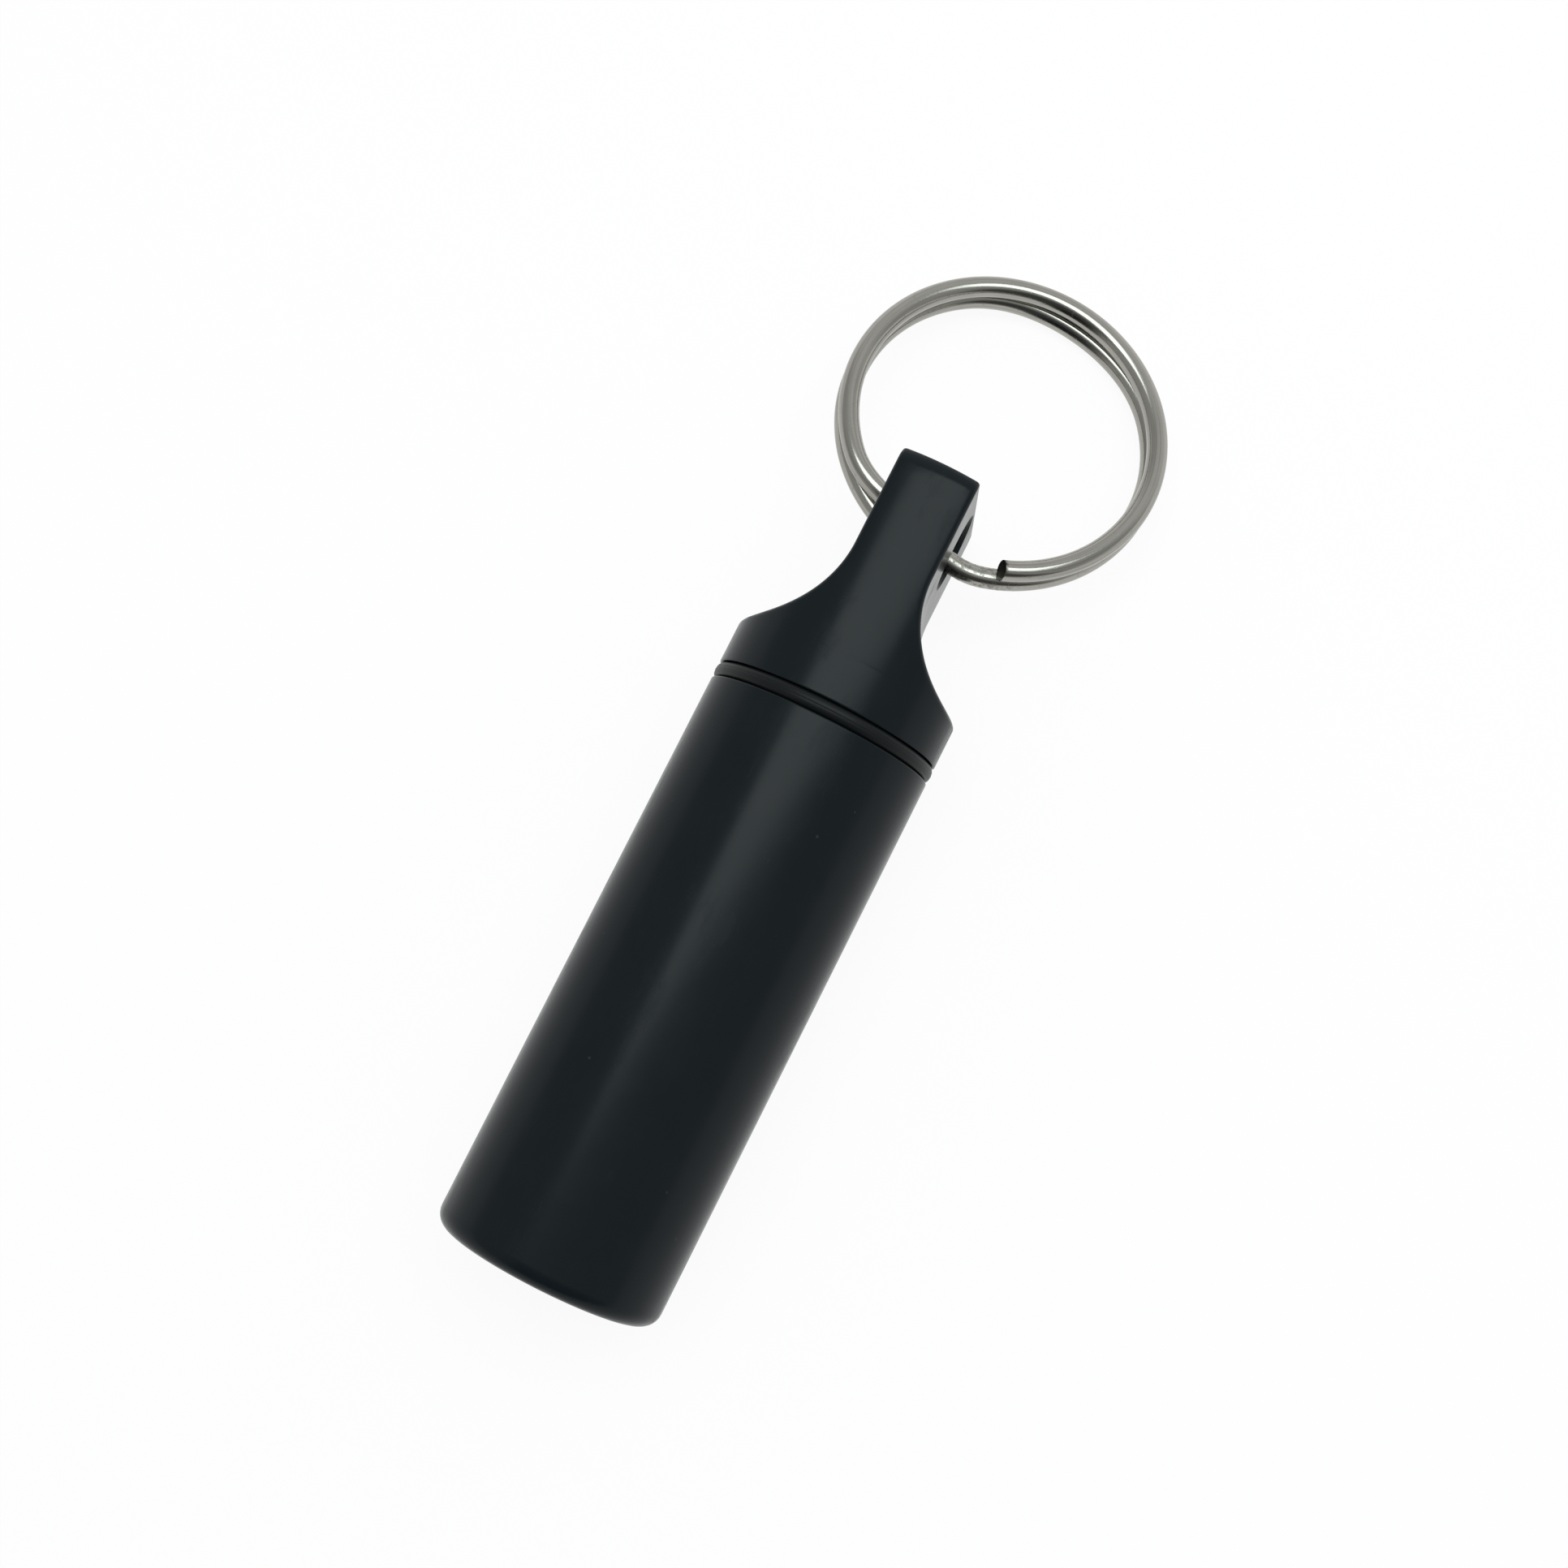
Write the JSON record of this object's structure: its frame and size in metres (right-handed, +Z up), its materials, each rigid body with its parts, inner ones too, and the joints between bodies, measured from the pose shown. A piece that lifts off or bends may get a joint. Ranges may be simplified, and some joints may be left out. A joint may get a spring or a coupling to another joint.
{
  "type": "pill fob keychain",
  "caption": "Turned aluminium pill case with a screw cap, a squeezed seal ring and a drilled flat tang that carries a split key ring.",
  "frame": {"origin": "centre of the case's flat base face; the fob lies on its side on a surface 7.99 mm below", "axes": "+X along the case from the base to the cap's tip and the key ring, +Z up, the tang's flats square to Y"},
  "size_m": [0.0757, 0.0232, 0.016],
  "materials": {
    "case_black": "satin black anodised",
    "cap_black": "satin black anodised",
    "seal_rubber": "matte",
    "ring_steel": "bright nickel plated"
  },
  "bodies": {
    "case": {"case_body": "case_black"},
    "seal": {"seal_ring": "seal_rubber"},
    "cap": {"cap": "cap_black"},
    "ring": {"split_ring": "ring_steel"}
  },
  "joints": [
    {"name": "cap_lift", "type": "slide", "parent": "case", "child": "seal", "axis": [1, 0, 0], "range_m": [0, 0.0064]},
    {"name": "cap_turn", "type": "hinge", "parent": "seal", "child": "cap", "pos_m": [0.0403, 0, 0], "axis": [1, 0, 0], "range_deg": [0, 1800]},
    {"name": "ring_swing", "type": "hinge", "parent": "cap", "child": "ring", "pos_m": [0.0545, 0, 0], "axis": [0, 1, 0], "range_deg": [-165, 132]}
  ],
  "couplings": [
    {"joint": "cap_lift", "follows": "cap_turn", "m_per_rad": 0.00020213}
  ]
}
